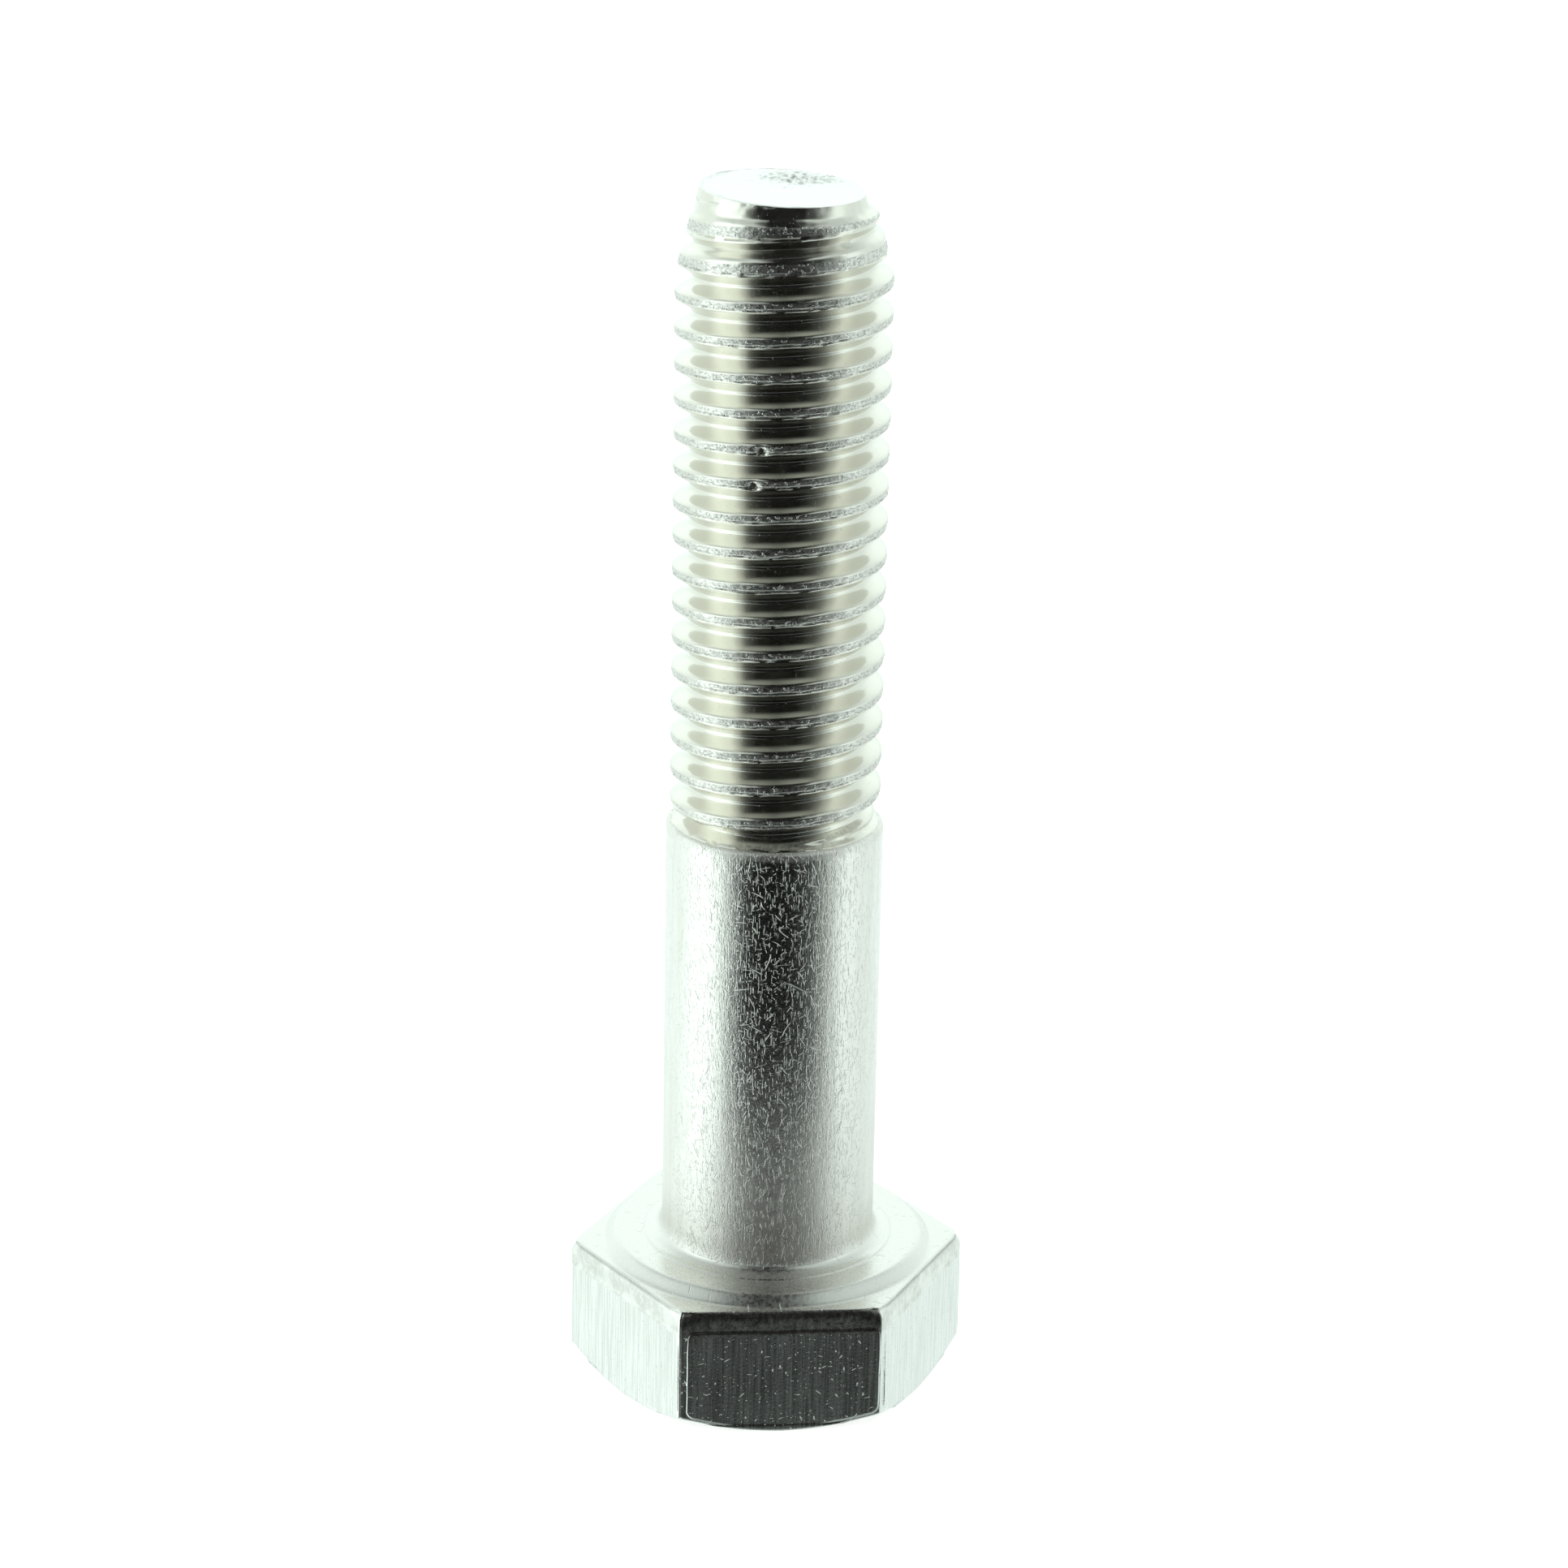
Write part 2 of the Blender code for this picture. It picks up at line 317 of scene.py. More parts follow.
def build_thread(flank, crest, tip):
    low_z = SHOULDER_Z - 0.3 * MM
    angles, heights, ideal = thread_rows(low_z)
    radii = ideal - crest_wear(angles, heights, ideal)
    rows, columns = heights.shape
    side = to_xyz(radii, angles, heights)
    side[..., 0] -= POINT_OFFSET * step_up(side[..., 2], TIP_Z - 0.9 * MM, 0.8 * MM)
    foot = side[0] * [0, 0, 1]
    face = tip_face_rings(side[-1])
    points = np.concatenate([foot, side.reshape(-1, 3), *face])

    side_quads = columns + helix_faces(rows, columns)
    foot_quads = ring_faces(0, 2, columns)
    face_quads = ring_faces(columns * rows, len(face) + 1, columns)

    on_crest = is_crest(angles, heights, ideal).reshape(-1)
    crest_points = np.concatenate([np.zeros(columns, bool), on_crest])
    all_on_crest = crest_points[side_quads].all(axis=1)
    zones = np.concatenate([
        np.full(len(foot_quads), ZONE_FLANK),
        np.where(all_on_crest, ZONE_CREST, ZONE_FLANK),
        np.full(len(face_quads), ZONE_TIP),
    ])
    faces = np.concatenate([foot_quads, side_quads, face_quads])
    return mesh_object("rolled_thread", points, faces, zones, [flank, crest, tip])


# ---------------------------------------------------------------------------------------------
# Headed shank

ZONE_SHANK, ZONE_FACE, ZONE_BAND, ZONE_FLAT = range(4)

# The trimmed pad on each flat: how far it stays from the corner at each end of the flat
PAD_FROM_LEFT_CORNER = 0.30 * MM
PAD_FROM_RIGHT_CORNER = 0.10 * MM
PAD_LEFT = PAD_FROM_LEFT_CORNER - HALF_SIDE
PAD_RIGHT = HALF_SIDE - PAD_FROM_RIGHT_CORNER
PAD_CORNER_RADIUS = 0.25 * MM


def head_angles():
    """Angles of the columns, close together at the borders of the pads and round the corners."""
    runs = [
        np.linspace(-STRAIGHT_REACH, PAD_LEFT - 0.05 * MM, 3, endpoint=False),
        np.linspace(PAD_LEFT - 0.05 * MM, PAD_LEFT + 0.25 * MM, 9, endpoint=False),
        np.linspace(PAD_LEFT + 0.25 * MM, PAD_RIGHT - 0.25 * MM, 26, endpoint=False),
        np.linspace(PAD_RIGHT - 0.25 * MM, STRAIGHT_REACH, 9, endpoint=False),
    ]
    flat = np.arctan(np.concatenate(runs) / HALF_FLATS)
    corner_start = math.atan(STRAIGHT_REACH / HALF_FLATS)
    corner = np.linspace(corner_start, math.pi / 3 - corner_start, CORNER_COLUMNS, endpoint=False)
    middles = -math.pi / 2 + np.arange(6) * math.pi / 3
    return (middles[:, None] + np.concatenate([flat, corner])[None, :]).reshape(-1)


def angle_from_flat(angle):
    """The signed angle from the middle of the nearest flat."""
    return (angle + math.pi / 2 + math.pi / 6) % (math.pi / 3) - math.pi / 6


def hexagon_radius(angle):
    """Distance from the axis to the hexagon's side, with its corners rounded."""
    from_flat = np.abs(angle_from_flat(angle))
    from_corner = math.pi / 6 - from_flat
    straight = HALF_FLATS / np.cos(from_flat)
    centre = (HALF_FLATS - CORNER_ROUNDING) / math.cos(math.pi / 6)
    inside_root = np.maximum(CORNER_ROUNDING**2 - (centre * np.sin(from_corner)) ** 2, 0)
    rounded = centre * np.cos(from_corner) + np.sqrt(inside_root)
    return np.where(np.tan(from_flat) * HALF_FLATS > STRAIGHT_REACH, rounded, straight)


def chamfer_edge_z(angle):
    """Where the chamfer of the outer face meets the hexagon's side."""
    return (hexagon_radius(angle) - OUTER_FACE_RADIUS) * math.tan(OUTER_CHAMFER_ANGLE)


def outside_pad(points, angle):
    """Distance outside the rounded outline of the trimmed pad, negative inside it."""
    across = np.tan(angle_from_flat(angle)) * HALF_FLATS
    z = points[..., 2]
    low = chamfer_edge_z(angle) + 0.13 * MM
    wander = 0.03 * MM * rough_field(points, 0.8 * MM, 21)
    past_side = np.maximum(PAD_LEFT - across, across - PAD_RIGHT) + PAD_CORNER_RADIUS
    past_end = np.maximum(low - z, z - BAND_FOOT_Z) + PAD_CORNER_RADIUS
    outside = np.hypot(np.maximum(past_side, 0), np.maximum(past_end, 0))
    inside = np.minimum(np.maximum(past_side, past_end), 0)
    return outside + inside - PAD_CORNER_RADIUS + wander


def rounded_outline(corners, columns, rounding_steps=5):
    """Rows of (radius, z) along an outline whose corners are rounded, and the zone of each span.

    A corner is (radius, z, cut, spans, zone): how far the rounding reaches to each side of it, how
    many spans the straight run to the next corner has, and that run's zone. Radius and z are each
    a number or an array with a value for each column.
    """
    places = [np.stack([np.broadcast_to(c[0], columns), np.broadcast_to(c[1], columns)]) for c in corners]
    rows, zones = [places[0]], []
    for number, (_, _, cut, _, zone) in enumerate(corners[1:], start=1):
        spans, run_zone = corners[number - 1][3], corners[number - 1][4]
        before, here = places[number - 1], places[number]
        start = here + (before - here) / np.hypot(*(before - here)) * cut
        run_from = rows[-1]
        for step in range(1, spans + 1):
            rows.append(run_from + (start - run_from) * step / spans)
            zones.append(run_zone)
        if cut == 0:
            continue
        after = places[number + 1]
        end = here + (after - here) / np.hypot(*(after - here)) * cut
        for step in range(1, rounding_steps + 1):
            t = step / rounding_steps
            rows.append((1 - t) ** 2 * start + 2 * t * (1 - t) * here + t**2 * end)
            zones.append(run_zone if t <= 0.5 else zone)
    return np.array(rows), zones


def head_corners(angles):
    """The outline of shank and head, from the shoulder's middle to the outer face's middle."""
    hexagon = hexagon_radius(angles)
    chamfer_z = chamfer_edge_z(angles)
    lip_z = BEARING_Z + LIP_HEIGHT
    return [
        (0.0, SHOULDER_Z, 0, 2, ZONE_SHANK),
        (SHANK_RADIUS, SHOULDER_Z, SHOULDER_ROUNDING, 130, ZONE_SHANK),
        (SHANK_RADIUS, lip_z, UNDER_HEAD_FILLET, 1, ZONE_FACE),
        (LIP_RADIUS, lip_z, 0.03 * MM, 1, ZONE_FACE),
        (LIP_RADIUS + 0.06 * MM, BEARING_Z, 0.03 * MM, 8, ZONE_FACE),
        (WASHER_FACE_RADIUS, BEARING_Z, 0.12 * MM, 2, ZONE_FACE),
        (WASHER_FACE_FOOT_RADIUS, HEX_TOP_Z, 0.14 * MM, 4, ZONE_FACE),
        (hexagon, HEX_TOP_Z, 0.20 * MM, 4, ZONE_BAND),
        (hexagon, BAND_FOOT_Z + 0.15 * MM, 0, 8, ZONE_BAND),
        (hexagon, BAND_FOOT_Z - 0.15 * MM, 0, 10, ZONE_FLAT),
        (hexagon, chamfer_z + 0.35 * MM, 0, 8, ZONE_FLAT),
        (hexagon, chamfer_z, 0.07 * MM, 5, ZONE_FACE),
        (OUTER_FACE_RADIUS, 0.0, 0.08 * MM, 3, ZONE_FACE),
        (4.9 * MM, 0.0, 0.3 * MM, 6, ZONE_FACE),
        (0.0, 0.05 * MM, 0, 0, ZONE_FACE),
    ]


def shank_dents(points, angle):
    """Shallow dents over the shank from handling, as how much nearer the axis the surface lies."""
    chance = random.Random(11)
    depth = np.zeros(angle.shape)
    for _ in range(60):
        at_angle = chance.uniform(-math.pi, math.pi)
        at_z = chance.uniform(BEARING_Z + 1.2 * MM, SHOULDER_Z - 0.4 * MM)
        tilt = chance.uniform(0, math.pi)
        length = chance.uniform(0.12, 0.34) * MM
        deep = chance.uniform(0.008, 0.024) * MM
        round_axis = angle_gap(angle, at_angle) * SHANK_RADIUS
        up_axis = points[..., 2] - at_z
        along = round_axis * math.cos(tilt) + up_axis * math.sin(tilt)
        across = up_axis * math.cos(tilt) - round_axis * math.sin(tilt)
        depth += deep * hump(along, length) * hump(across, 0.11 * MM)
    return depth


def flat_wear(points, radius, angle):
    """How far inside the plain hexagon the flats lie: sunk round their pads and crushed at the top."""
    z = points[..., 2]
    at_left = step_up(-angle_from_flat(angle), 0.35, 0.2)
    sunk = TRIM_BAND_DEPTH * (0.5 + 0.5 * at_left) * step_up(outside_pad(points, angle), 0, 0.06 * MM)
    uneven = 0.006 * MM * (1 + rough_field(points, 1.6 * MM, 8))
    crushed = 0.02 * MM * (1 + rough_field(points, 0.22 * MM, 9)) * hump(z - HEX_TOP_Z, 0.22 * MM)
    from_corner = (math.pi / 6 - np.abs(angle_from_flat(angle))) * HALF_FLATS
    crushed = crushed + 0.16 * MM * hump(from_corner, 0.30 * MM) * hump(z - HEX_TOP_Z, 0.26 * MM)
    on_side = step_up(radius, hexagon_radius(angle) - 0.12 * MM, 0.2 * MM) * (z > 0.3 * MM)
    return (sunk + uneven + crushed) * on_side


def build_headed_shank(shank, face, band, flat):
    angles = head_angles()
    columns = len(angles)
    outline, row_zones = rounded_outline(head_corners(angles), columns)
    radius, z = outline[:, 0], outline[:, 1]
    angle = np.broadcast_to(angles, radius.shape)
    points = to_xyz(radius, angle, z)

    on_shank = (np.abs(radius - SHANK_RADIUS) < 0.02 * MM) & (z > BEARING_Z + 0.7 * MM)
    worn = radius - np.where(on_shank, shank_dents(points, angle), 0)
    worn = worn - flat_wear(points, radius, angle)

    points = to_xyz(worn, angle, z)
    faces = ring_faces(0, len(points), columns)
    zones = np.repeat(np.array(row_zones), columns)
    return mesh_object("headed_shank", points.reshape(-1, 3), faces, zones, [shank, face, band, flat])


# ---------------------------------------------------------------------------------------------
# Node helpers


class NodeTree:
    """Shorthand for building a node tree. Each method adds a node and returns its output."""

    def __init__(self, tree):
        self.nodes = tree.nodes
        self.links = tree.links

    def set(self, socket, value):
        """Gives a socket a number or a colour, or links an output to it."""
        if isinstance(value, bpy.types.NodeSocket):
            self.links.new(value, socket)
        elif isinstance(value, tuple):
            socket.default_value = (*value, 1)
        else:
            socket.default_value = value

    def math(self, operation, first, second=0.0, third=0.0):
        node = self.nodes.new("ShaderNodeMath")
        node.operation = operation
        for socket, value in zip(node.inputs, (first, second, third)):
            self.set(socket, value)
        return node.outputs[0]

    def axes(self, vector):
        """The three numbers of a vector."""
        node = self.nodes.new("ShaderNodeSeparateXYZ")
        self.links.new(vector, node.inputs[0])
        return node.outputs

    def turned(self, x, y, cosine, sine):
        """Where a point lies along and across a direction, given by its cosine and sine."""
        along = self.math("MULTIPLY_ADD", x, cosine, self.math("MULTIPLY", y, sine))
        across = self.math("SUBTRACT", self.math("MULTIPLY", y, cosine), self.math("MULTIPLY", x, sine))
        return along, across

    def ramp(self, value, low, high, to_low=0.0, to_high=1.0):
        """A smooth step between two values."""
        node = self.nodes.new("ShaderNodeMapRange")
        node.interpolation_type = "SMOOTHSTEP"
        self.set(node.inputs["Value"], value)
        self.set(node.inputs["From Min"], low)
        self.set(node.inputs["From Max"], high)
        self.set(node.inputs["To Min"], to_low)
        self.set(node.inputs["To Max"], to_high)
        return node.outputs["Result"]

    def blend(self, share, first, second):
        """A mix of two numbers."""
        node = self.nodes.new("ShaderNodeMix")
        self.set(node.inputs["Factor"], share)
        self.set(node.inputs["A"], first)
        self.set(node.inputs["B"], second)
        return node.outputs["Result"]

    def mix(self, share, first, second):
        """A mix of two colours."""
        node = self.nodes.new("ShaderNodeMix")
        node.data_type = "RGBA"
        self.set(node.inputs[0], share)
        self.set(node.inputs[6], first)
        self.set(node.inputs[7], second)
        return node.outputs[2]


# ---------------------------------------------------------------------------------------------
# Materials


class Steel(NodeTree):
    """A bare stainless steel material."""

    def __init__(self, name):
        self.material = bpy.data.materials.new(name)
        self.material.use_nodes = True
        super().__init__(self.material.node_tree)
        self.shader = self.nodes["Principled BSDF"]
        self.shader.inputs["Metallic"].default_value = 1.0
        self.position = self.nodes.new("ShaderNodeTexCoord").outputs["Object"]

    def stretched(self, x, y, z, tilt=(0, 0, 0)):
        """The position, scaled along each axis: a texture read there is drawn out the other way."""
        node = self.nodes.new("ShaderNodeMapping")
        self.links.new(self.position, node.inputs["Vector"])
        node.inputs["Scale"].default_value = (x, y, z)
        node.inputs["Rotation"].default_value = tilt
        return node.outputs[0]

    def noise(self, vector, size, detail=2.0, roughness=0.5):
        node = self.nodes.new("ShaderNodeTexNoise")
        self.links.new(vector, node.inputs["Vector"])
        node.inputs["Scale"].default_value = 1 / size
        node.inputs["Detail"].default_value = detail
        node.inputs["Roughness"].default_value = roughness
        return node.outputs["Fac"]

    def bent(self, vector, size, amount):
        """The vector, pushed about by noise."""
        node = self.nodes.new("ShaderNodeTexNoise")
        self.links.new(vector, node.inputs["Vector"])
        node.inputs["Scale"].default_value = 1 / size
        node.inputs["Detail"].default_value = 1.0
        push = self.nodes.new("ShaderNodeVectorMath")
        push.operation = "MULTIPLY_ADD"
        self.links.new(node.outputs["Color"], push.inputs[0])
        push.inputs[1].default_value = (amount, amount, amount)
        self.links.new(vector, push.inputs[2])
        return push.outputs[0]

    def unrolled(self, radius):
        """The surface round the axis laid flat, as distance and height. Its join is at the back."""
        x, y, z = self.axes(self.position)
        angle = self.math("ARCTAN2", x, self.math("MULTIPLY", y, -1.0))
        node = self.nodes.new("ShaderNodeCombineXYZ")
        self.links.new(self.math("MULTIPLY", angle, radius), node.inputs["X"])
        self.links.new(z, node.inputs["Y"])
        return node.outputs[0]

    def scratches(self, flat, spacing, length, width, share):
        """Short strokes in random directions on a flat drawing: 1 along a stroke and 0 off it."""
        cells = self.nodes.new("ShaderNodeTexVoronoi")
        cells.voronoi_dimensions = "2D"
        self.links.new(flat, cells.inputs["Vector"])
        cells.inputs["Scale"].default_value = 1 / spacing
        offset = self.nodes.new("ShaderNodeVectorMath")
        offset.operation = "SUBTRACT"
        self.links.new(flat, offset.inputs[0])
        self.links.new(cells.outputs["Position"], offset.inputs[1])
        x, y, _ = self.axes(offset.outputs[0])
        direction, chance, size = self.axes(cells.outputs["Color"])
        angle = self.math("MULTIPLY", direction, math.pi)
        cosine, sine = self.math("COSINE", angle), self.math("SINE", angle)
        along, across = self.turned(x, y, cosine, sine)
        half = self.math("MULTIPLY", self.math("ADD", size, 0.3), length / 2)
        reach = self.math("DIVIDE", self.math("ABSOLUTE", along), half)
        narrow = self.math("SUBTRACT", 1.0, self.math("MULTIPLY", reach, reach))
        edge = self.math("DIVIDE", self.math("ABSOLUTE", across), width / 2)
        stroke = self.ramp(self.math("SUBTRACT", narrow, edge), 0.0, 0.8)
        return self.math("MULTIPLY", stroke, self.math("LESS_THAN", chance, share))

    def marks(self, flat, spacing, length, width, share):
        """Two sets of curved strokes that cross."""
        first = self.bent(flat, length, length * 0.22)
        moved = self.nodes.new("ShaderNodeMapping")
        self.links.new(self.bent(flat, length * 0.7, length * 0.22), moved.inputs["Vector"])
        moved.inputs["Rotation"].default_value = (0, 0, 1.1)
        strokes = self.scratches(first, spacing, length, width, share)
        others = self.scratches(moved.outputs[0], spacing * 0.8, length * 0.7, width * 0.8, share)
        return self.math("MAXIMUM", strokes, others)

    def bump(self, height, depth, below=None):
        """Relief of the given depth in metres, on top of the relief below it."""
        node = self.nodes.new("ShaderNodeBump")
        node.inputs["Distance"].default_value = depth
        self.links.new(height, node.inputs["Height"])
        if below:
            self.links.new(below, node.inputs["Normal"])
        return node.outputs["Normal"]

    def finish(self, colour, roughness, normal):
        self.set(self.shader.inputs["Base Color"], colour)
        self.set(self.shader.inputs["Roughness"], roughness)
        self.set(self.shader.inputs["Normal"], normal)
        return self.material


CLEAN_STEEL = (0.72, 0.705, 0.66)
BRIGHT_STEEL = (0.84, 0.83, 0.79)


def flank_steel():
    """Burnished by the rolling dies: smooth, with faint lines that run along the thread."""
    steel = Steel("thread_flank_steel")
    lines = steel.noise(steel.stretched(0.12, 0.12, 1.0), 0.05 * MM, 3, 0.6)
    cloud = steel.noise(steel.position, 1.1 * MM, 3)
    pits = steel.ramp(steel.noise(steel.position, 0.07 * MM, 1), 0.72, 0.78)
    colour = steel.mix(cloud, (0.71, 0.685, 0.615), (0.77, 0.75, 0.685))
    roughness = steel.ramp(cloud, 0.3, 0.7, 0.13, 0.18)
    normal = steel.bump(lines, 0.0006 * MM)
    normal = steel.bump(pits, -0.004 * MM, normal)
    return steel.finish(colour, roughness, normal)


def crest_steel():
    """The crests, where the metal closes up last: torn, sparkling and darkened in its pits."""
    steel = Steel("thread_crest_steel")
    grit = steel.noise(steel.stretched(0.6, 0.6, 1.0), 0.075 * MM, 3, 0.6)
    flakes = steel.ramp(steel.noise(steel.stretched(0.7, 0.7, 1.0), 0.12 * MM, 1), 0.60, 0.68)
    colour = steel.mix(steel.ramp(grit, 0.36, 0.60), (0.52, 0.51, 0.48), CLEAN_STEEL)
    roughness = steel.ramp(grit, 0.3, 0.7, 0.42, 0.20)
    normal = steel.bump(grit, 0.015 * MM)
    normal = steel.bump(flakes, 0.014 * MM, normal)
    return steel.finish(colour, roughness, normal)


def tip_steel():
    """The sheared end face: pale and matt, with fine lines across it."""
    steel = Steel("sheared_tip_steel")
    lines = steel.noise(steel.stretched(1.0, 0.1, 0.5, tilt=(0, 0, 0.7)), 0.04 * MM, 3, 0.6)
    grain = steel.noise(steel.position, 0.09 * MM, 3, 0.6)
    colour = steel.mix(grain, (0.76, 0.75, 0.73), (0.92, 0.91, 0.89))
    roughness = steel.ramp(grain, 0.3, 0.7, 0.26, 0.42)
    normal = steel.bump(lines, 0.003 * MM)
    normal = steel.bump(grain, 0.005 * MM, normal)
    return steel.finish(colour, roughness, normal)


def shank_steel():
    """Drawn and then tumbled: fine lines along the shank under a tangle of short scratches."""
    steel = Steel("drawn_shank_steel")
    flat = steel.unrolled(SHANK_RADIUS)
    height = steel.axes(steel.position)[2]
    near_head = steel.ramp(height, BEARING_Z + 1.0 * MM, BEARING_Z + 12.0 * MM, 1.0, 0.0)
    at_rim = steel.ramp(height, SHOULDER_Z - 0.42 * MM, SHOULDER_Z - 0.20 * MM)
    lines = steel.noise(steel.stretched(1.0, 1.0, 0.03), 0.06 * MM, 3, 0.7)
    broken_lines = steel.ramp(steel.noise(steel.stretched(1.0, 1.0, 0.14), 0.055 * MM, 1), 0.57, 0.70)
    broad = steel.noise(steel.stretched(1.0, 1.0, 0.12), 0.35 * MM, 2)
    peel = steel.noise(steel.stretched(1.0, 1.0, 0.6), 0.06 * MM, 3, 0.65)
    mottle = steel.noise(steel.stretched(1.0, 1.0, 0.45), 0.20 * MM, 3, 0.6)
    long_marks = steel.marks(flat, 0.75 * MM, 0.66 * MM, 0.050 * MM, 0.60)
    short_marks = steel.marks(flat, 0.24 * MM, 0.22 * MM, 0.046 * MM, 0.42)
    marks = steel.math("MAXIMUM", long_marks, steel.math("MULTIPLY", short_marks, 0.75))
    colour = steel.mix(broad, (0.74, 0.715, 0.67), (0.88, 0.865, 0.825))
    colour = steel.mix(steel.math("MULTIPLY", marks, 0.25), colour, BRIGHT_STEEL)
    roughness = steel.ramp(peel, 0.3, 0.7, 0.10, 0.20)
    roughness = steel.math("MULTIPLY_ADD", near_head, 0.32, roughness)
    roughness = steel.math("MULTIPLY_ADD", at_rim, 0.25, roughness)
    roughness = steel.math("MULTIPLY_ADD", marks, 0.12, roughness)
    normal = steel.bump(lines, 0.006 * MM)
    normal = steel.bump(peel, 0.009 * MM, normal)
    normal = steel.bump(mottle, 0.010 * MM, normal)
    normal = steel.bump(broken_lines, -0.006 * MM, normal)
    normal = steel.bump(marks, -0.009 * MM, normal)
    return steel.finish(colour, roughness, normal)


def face_steel():
    """Washer face, fillet and chamfer: pressed by the heading die, with turning rings and wipes."""
    steel = Steel("headed_face_steel")
    from_axis = steel.nodes.new("ShaderNodeVectorMath")
    from_axis.operation = "LENGTH"
    steel.links.new(steel.stretched(1, 1, 0), from_axis.inputs[0])
    rings_at = steel.nodes.new("ShaderNodeCombineXYZ")
    steel.links.new(from_axis.outputs["Value"], rings_at.inputs["X"])
    rings = steel.noise(rings_at.outputs[0], 0.08 * MM, 3, 0.6)
    grain = steel.noise(steel.position, 0.14 * MM, 3, 0.6)
    flat = steel.stretched(1, 1, 1)
    marks = steel.marks(flat, 0.7 * MM, 0.5 * MM, 0.05 * MM, 0.3)
    colour = steel.mix(grain, (0.69, 0.68, 0.64), (0.82, 0.81, 0.77))
    colour = steel.mix(steel.math("MULTIPLY", marks, 0.3), colour, BRIGHT_STEEL)
    roughness = steel.ramp(grain, 0.3, 0.7, 0.22, 0.34)
    normal = steel.bump(rings, 0.0035 * MM)
    normal = steel.bump(grain, 0.003 * MM, normal)
    normal = steel.bump(marks, -0.005 * MM, normal)
    return steel.finish(colour, roughness, normal)


def band_steel():
    """Top of the flats, which the trimming die only crushed: mottled, with a painted shadow as a dark
    ragged line along the top edge.
    """
    steel = Steel("crushed_band_with_painted_shade_steel")
    mottle = steel.noise(steel.stretched(1.0, 1.0, 0.6), 0.16 * MM, 4, 0.7)
    stain = steel.noise(steel.position, 0.9 * MM, 2)
    colour = steel.mix(steel.ramp(mottle, 0.38, 0.66), (0.64, 0.63, 0.585), (0.78, 0.77, 0.73))
    colour = steel.mix(steel.ramp(stain, 0.42, 0.66), colour, (0.82, 0.81, 0.77))
    # Painted shade: the colour turns near-black in a ragged line just under the top edge of the flats.
    ragged_z = steel.math("MULTIPLY_ADD", mottle, 0.12 * MM, steel.axes(steel.position)[2])
    painted_edge_shade = steel.ramp(ragged_z, HEX_TOP_Z - 0.10 * MM, HEX_TOP_Z - 0.02 * MM, 0.0, 0.42)
    colour = steel.mix(painted_edge_shade, colour, (0.20, 0.195, 0.18))
    roughness = steel.ramp(mottle, 0.3, 0.7, 0.30, 0.16)
    normal = steel.bump(mottle, 0.010 * MM)
    return steel.finish(colour, roughness, normal)


def flat_steel():
    """The trimmed flats: scored along the bolt's axis by the trimming die, with bright specks."""
    steel = Steel("trimmed_flat_steel")
    flat = steel.unrolled(HALF_FLATS)
    scores = steel.noise(steel.stretched(1.0, 1.0, 0.03), 0.09 * MM, 4, 0.7)
    grain = steel.noise(steel.position, 0.12 * MM, 3, 0.6)
    specks = steel.ramp(steel.noise(steel.position, 0.10 * MM, 2), 0.67, 0.75)
    marks = steel.math("MAXIMUM", steel.marks(flat, 0.5 * MM, 0.22 * MM, 0.06 * MM, 0.30), specks)
    colour = steel.mix(steel.ramp(scores, 0.35, 0.65), (0.69, 0.69, 0.66), (0.86, 0.86, 0.83))
    colour = steel.mix(steel.math("MULTIPLY", marks, 0.4), colour, BRIGHT_STEEL)
    roughness = steel.ramp(scores, 0.3, 0.7, 0.19, 0.28)
    roughness = steel.math("MULTIPLY_ADD", marks, 0.15, roughness)
    normal = steel.bump(scores, 0.0022 * MM)
    normal = steel.bump(grain, 0.004 * MM, normal)
    normal = steel.bump(marks, -0.010 * MM, normal)
    return steel.finish(colour, roughness, normal)


# ---------------------------------------------------------------------------------------------
# Studio

# The camera's place: its bearing in degrees round the bolt's axis, and its distance from that axis
CAMERA_BEARING = -95.3

CAMERA_DISTANCE = 137.2 * MM
CAMERA_Z = 70.0 * MM
CAMERA_LENS = 90.9
CAMERA_ROLL = math.radians(1.10)
LOOKED_AT_Z = 23.1 * MM
LOOKED_AT_ASIDE = 0.32 * MM

# Brightness of the studio round the bolt, by the bearing in degrees from the camera's own side
TENT = [
    (-180, 1.25),
    (-110, 1.20),
    (-84, 1.75),
    (-62, 1.50),
    (-51, 0.80),
    (-43, 0.19),
    (-36, 0.06),
    (-26, 0.003),
    (26, 0.003),
    (42, 0.07),
    (54, 0.23),
    (66, 0.68),
    (80, 1.30),
    (104, 1.02),
    (180, 1.22),
]


def white_floor():
    mesh = bpy.data.meshes.new("floor")
    half = 1.5
    corners = [(-half, -half, 0), (half, -half, 0), (half, half, 0), (-half, half, 0)]
    mesh.from_pydata(corners, [], [(0, 1, 2, 3)])
    material = bpy.data.materials.new("lit_white_floor")
    material.use_nodes = True
    shader = material.node_tree.nodes["Principled BSDF"]
    shader.inputs["Base Color"].default_value = (0.9, 0.9, 0.9, 1)
    shader.inputs["Roughness"].default_value = 0.9
    shader.inputs["Emission Color"].default_value = (1, 1, 1, 1)
    shader.inputs["Emission Strength"].default_value = 0.6
    mesh.materials.append(material)
    floor = bpy.data.objects.new("floor", mesh)
    bpy.context.scene.collection.objects.link(floor)
    floor.visible_glossy = False


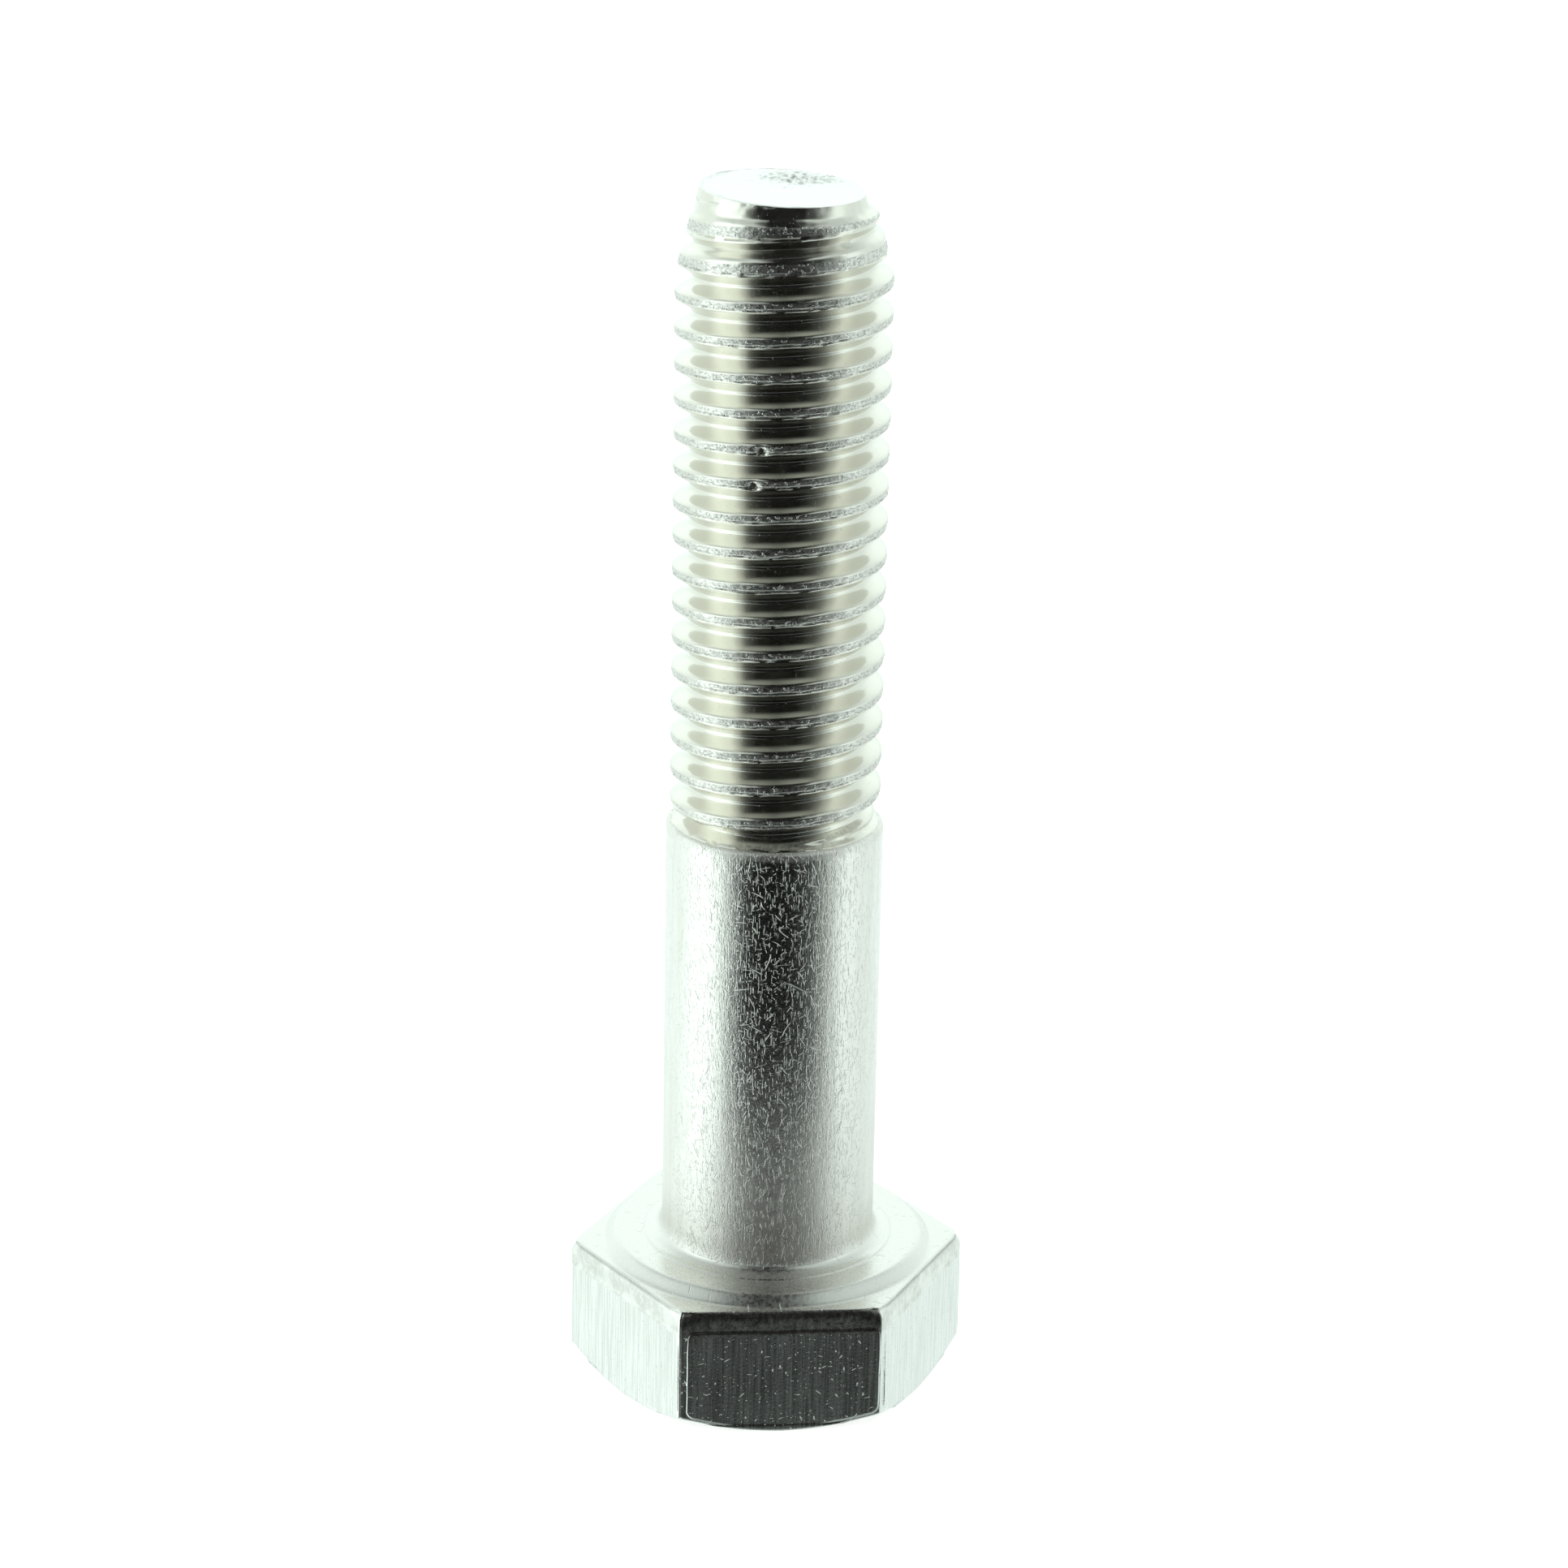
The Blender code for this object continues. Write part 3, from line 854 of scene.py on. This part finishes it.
def studio_brightness(sky):
    """Brightness by direction: a lit tent, open towards the camera, with a table and a roof."""
    direction = sky.nodes.new("ShaderNodeTexCoord").outputs["Generated"]
    x, y, z = sky.axes(direction)
    bearing = math.radians(CAMERA_BEARING)
    toward, aside = sky.turned(x, y, math.cos(bearing), math.sin(bearing))
    turn = sky.math("MULTIPLY_ADD", sky.math("ARCTAN2", aside, toward), 1 / math.tau, 0.5)
    tent = sky.nodes.new("ShaderNodeValToRGB")
    sky.links.new(turn, tent.inputs[0])
    tent.color_ramp.interpolation = "EASE"
    for degrees, _ in TENT[1:-1]:
        tent.color_ramp.elements.new(0.5 + degrees / 360)
    for element, (_, value) in zip(tent.color_ramp.elements, TENT):
        element.color = (value, value, value, 1)
    around = tent.outputs["Color"]

    sideways = sky.math("ABSOLUTE", aside)
    table = sky.math("MULTIPLY_ADD", sideways, 0.9, 0.26)
    table = sky.math("MULTIPLY", sky.ramp(z, -0.42, -0.76), table)
    around = sky.math("MAXIMUM", around, table)
    glow = sky.math("MULTIPLY", sky.ramp(toward, -0.5, -0.9), sky.ramp(z, 0.0, 0.3))
    around = sky.math("MULTIPLY_ADD", glow, 0.18, around)
    overhead = sky.math("MAXIMUM", sky.ramp(toward, 0.0, -0.45), sky.ramp(sideways, 0.20, 0.45))
    overhead = sky.math("MULTIPLY_ADD", overhead, 0.75, 0.002)
    return sky.blend(sky.ramp(z, 0.50, 0.85), around, overhead)


def studio_world():
    """Reflections see the studio, and the camera sees plain white."""
    world = bpy.data.worlds.new("studio")
    bpy.context.scene.world = world
    world.use_nodes = True
    sky = NodeTree(world.node_tree)
    reflected = sky.nodes["Background"]
    reflected.inputs["Color"].default_value = (0.88, 1.0, 0.97, 1)
    sky.links.new(studio_brightness(sky), reflected.inputs["Strength"])
    plain = sky.nodes.new("ShaderNodeBackground")
    plain.inputs["Color"].default_value = (1, 1, 1, 1)
    choose = sky.nodes.new("ShaderNodeMixShader")
    sky.links.new(sky.nodes.new("ShaderNodeLightPath").outputs["Is Glossy Ray"], choose.inputs["Fac"])
    sky.links.new(plain.outputs[0], choose.inputs[1])
    sky.links.new(reflected.outputs[0], choose.inputs[2])
    sky.links.new(choose.outputs[0], sky.nodes["World Output"].inputs["Surface"])


def camera():
    """Slightly left of the front flat, looking down at the middle of the bolt."""
    data = bpy.data.cameras.new("camera")
    data.lens = CAMERA_LENS
    data.sensor_width = 36.0
    data.clip_start = 0.01
    obj = bpy.data.objects.new("camera", data)
    bpy.context.scene.collection.objects.link(obj)
    bearing = math.radians(CAMERA_BEARING)
    place = Vector((CAMERA_DISTANCE * math.cos(bearing), CAMERA_DISTANCE * math.sin(bearing), CAMERA_Z))
    sideways = Vector((-math.sin(bearing), math.cos(bearing), 0))
    target = sideways * LOOKED_AT_ASIDE + Vector((0, 0, LOOKED_AT_Z))
    roll = Matrix.Rotation(CAMERA_ROLL, 4, "Z")
    aim = (target - place).to_track_quat("-Z", "Y").to_matrix().to_4x4()
    obj.matrix_world = Matrix.Translation(place) @ aim @ roll
    bpy.context.scene.camera = obj


# ---------------------------------------------------------------------------------------------
# Assembly

camera()
white_floor()
studio_world()
bpy.context.scene.view_settings.view_transform = "Standard"

for piece in (
    build_thread(flank_steel(), crest_steel(), tip_steel()),
    build_headed_shank(shank_steel(), face_steel(), band_steel(), flat_steel()),
):
    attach(piece, "root")
    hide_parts("hex_bolt")
